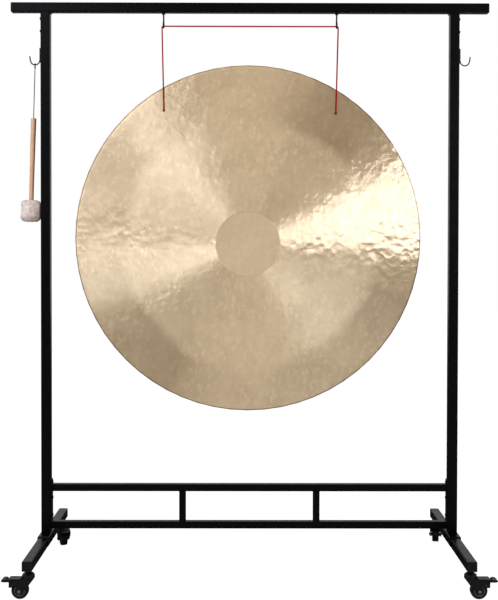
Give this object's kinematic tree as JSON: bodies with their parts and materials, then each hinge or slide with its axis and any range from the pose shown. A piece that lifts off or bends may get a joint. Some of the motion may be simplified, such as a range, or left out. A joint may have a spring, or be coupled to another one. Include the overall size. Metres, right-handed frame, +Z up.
{
  "type": "gong stand",
  "caption": "Black square-tube gong stand on braked swivel casters, with a large wind gong hung on a red cord and a mallet on a side hook.",
  "frame": {"origin": "on the floor, under the middle of the whole object's box", "axes": "+X along the top bar to the viewer's right, +Y to the back, +Z up"},
  "size_m": [1.512, 0.6544, 1.8],
  "materials": {
    "frame_paint": "satin",
    "black_plastic": "matt",
    "black_steel": "satin",
    "zinc": "satin",
    "dark_zinc": "satin",
    "tyre_rubber": "matt",
    "hub_plastic": "matt",
    "gong_bronze": "hammered and turned",
    "red_cord": "braided",
    "grey_string": "twisted",
    "beech": "oiled",
    "fleece": "soft pile"
  },
  "bodies": {
    "stand": {"top_bar": "frame_paint", "bar_cap_left": "black_plastic", "gong_hook_left": "zinc", "bar_cap_right": "black_plastic", "gong_hook_right": "zinc", "foot_left": "frame_paint", "foot_cap_front_left": "black_plastic", "foot_cap_rear_left": "black_plastic", "foot_saddle_left": "frame_paint", "upright_left": "frame_paint", "end_plate_left": "frame_paint", "upright_bolt_upper_left": "black_steel", "upright_bolt_lower_left": "black_steel", "mallet_hook_left": "black_steel", "foot_right": "frame_paint", "foot_cap_rear_right": "black_plastic", "foot_cap_front_right": "black_plastic", "foot_saddle_right": "frame_paint", "upright_right": "frame_paint", "end_plate_right": "frame_paint", "upright_bolt_upper_right": "black_steel", "upright_bolt_lower_right": "black_steel", "mallet_hook_right": "black_steel", "lower_rail": "frame_paint", "upper_rail": "frame_paint", "strut_left": "frame_paint", "strut_right": "frame_paint", "cord_over_hooks": "red_cord", "caster_stem_front_left": "black_steel", "caster_stem_front_right": "black_steel", "caster_stem_rear_left": "black_steel", "caster_stem_rear_right": "black_steel"},
    "swivel_front_left": {"caster_fork_front_left": "black_plastic", "caster_axle_front_left": "dark_zinc"},
    "wheel_front_left": {"caster_tyre_front_left": "tyre_rubber", "caster_hub_front_left": "hub_plastic"},
    "pedal_front_left": {"caster_pedal_front_left": "black_plastic"},
    "swivel_front_right": {"caster_fork_front_right": "black_plastic", "caster_axle_front_right": "dark_zinc"},
    "wheel_front_right": {"caster_tyre_front_right": "tyre_rubber", "caster_hub_front_right": "hub_plastic"},
    "pedal_front_right": {"caster_pedal_front_right": "black_plastic"},
    "swivel_rear_left": {"caster_fork_rear_left": "black_plastic", "caster_axle_rear_left": "dark_zinc"},
    "wheel_rear_left": {"caster_tyre_rear_left": "tyre_rubber", "caster_hub_rear_left": "hub_plastic"},
    "pedal_rear_left": {"caster_pedal_rear_left": "black_plastic"},
    "swivel_rear_right": {"caster_fork_rear_right": "black_plastic", "caster_axle_rear_right": "dark_zinc"},
    "wheel_rear_right": {"caster_tyre_rear_right": "tyre_rubber", "caster_hub_rear_right": "hub_plastic"},
    "pedal_rear_right": {"caster_pedal_rear_right": "black_plastic"},
    "gong": {"gong": "gong_bronze", "gong_cord_left": "red_cord", "gong_cord_right": "red_cord"},
    "mallet_line": {"mallet_string": "grey_string"},
    "mallet": {"mallet_handle": "beech", "mallet_head": "fleece"}
  },
  "joints": [
    {"name": "swivel_turn_front_left", "type": "hinge", "parent": "stand", "child": "swivel_front_left", "pos_m": [-0.6475, -0.30224, 0.07], "axis": [0, 0, 1], "continuous": true},
    {"name": "wheel_roll_front_left", "type": "hinge", "parent": "swivel_front_left", "child": "wheel_front_left", "pos_m": [-0.6715, -0.30224, 0.025], "axis": [0, -1, 0], "continuous": true},
    {"name": "brake_press_front_left", "type": "hinge", "parent": "swivel_front_left", "child": "pedal_front_left", "pos_m": [-0.696, -0.30224, 0.0505], "axis": [0, -1, 0], "range_deg": [0, 14]},
    {"name": "swivel_turn_front_right", "type": "hinge", "parent": "stand", "child": "swivel_front_right", "pos_m": [0.6475, -0.30224, 0.07], "axis": [0, 0, 1], "continuous": true},
    {"name": "wheel_roll_front_right", "type": "hinge", "parent": "swivel_front_right", "child": "wheel_front_right", "pos_m": [0.6715, -0.30224, 0.025], "axis": [0, 1, 0], "continuous": true},
    {"name": "brake_press_front_right", "type": "hinge", "parent": "swivel_front_right", "child": "pedal_front_right", "pos_m": [0.696, -0.30224, 0.0505], "axis": [0, 1, 0], "range_deg": [0, 14]},
    {"name": "swivel_turn_rear_left", "type": "hinge", "parent": "stand", "child": "swivel_rear_left", "pos_m": [-0.6475, 0.24776, 0.07], "axis": [0, 0, 1], "continuous": true},
    {"name": "wheel_roll_rear_left", "type": "hinge", "parent": "swivel_rear_left", "child": "wheel_rear_left", "pos_m": [-0.63929, 0.2252, 0.025], "axis": [0.9397, 0.342, 0], "continuous": true},
    {"name": "brake_press_rear_left", "type": "hinge", "parent": "swivel_rear_left", "child": "pedal_rear_left", "pos_m": [-0.63091, 0.20218, 0.0505], "axis": [0.9397, 0.342, 0], "range_deg": [0, 14]},
    {"name": "swivel_turn_rear_right", "type": "hinge", "parent": "stand", "child": "swivel_rear_right", "pos_m": [0.6475, 0.24776, 0.07], "axis": [0, 0, 1], "continuous": true},
    {"name": "wheel_roll_rear_right", "type": "hinge", "parent": "swivel_rear_right", "child": "wheel_rear_right", "pos_m": [0.65167, 0.27139, 0.025], "axis": [-0.9848, 0.1736, 0], "continuous": true},
    {"name": "brake_press_rear_right", "type": "hinge", "parent": "swivel_rear_right", "child": "pedal_rear_right", "pos_m": [0.65592, 0.29552, 0.0505], "axis": [-0.9848, 0.1736, 0], "range_deg": [0, 14]},
    {"name": "gong_swing", "type": "hinge", "parent": "stand", "child": "gong", "pos_m": [0, -0.02724, 1.723], "axis": [1, 0, 0], "range_deg": [-20, 20]},
    {"name": "mallet_swing", "type": "hinge", "parent": "stand", "child": "mallet_line", "pos_m": [-0.68175, -0.02724, 1.60475], "axis": [1, 0, 0], "range_deg": [-25, 25]},
    {"name": "mallet_lift", "type": "hinge", "parent": "mallet_line", "child": "mallet", "pos_m": [-0.68703, -0.02724, 1.43087], "axis": [0, 1, 0], "range_deg": [0, 15]}
  ]
}
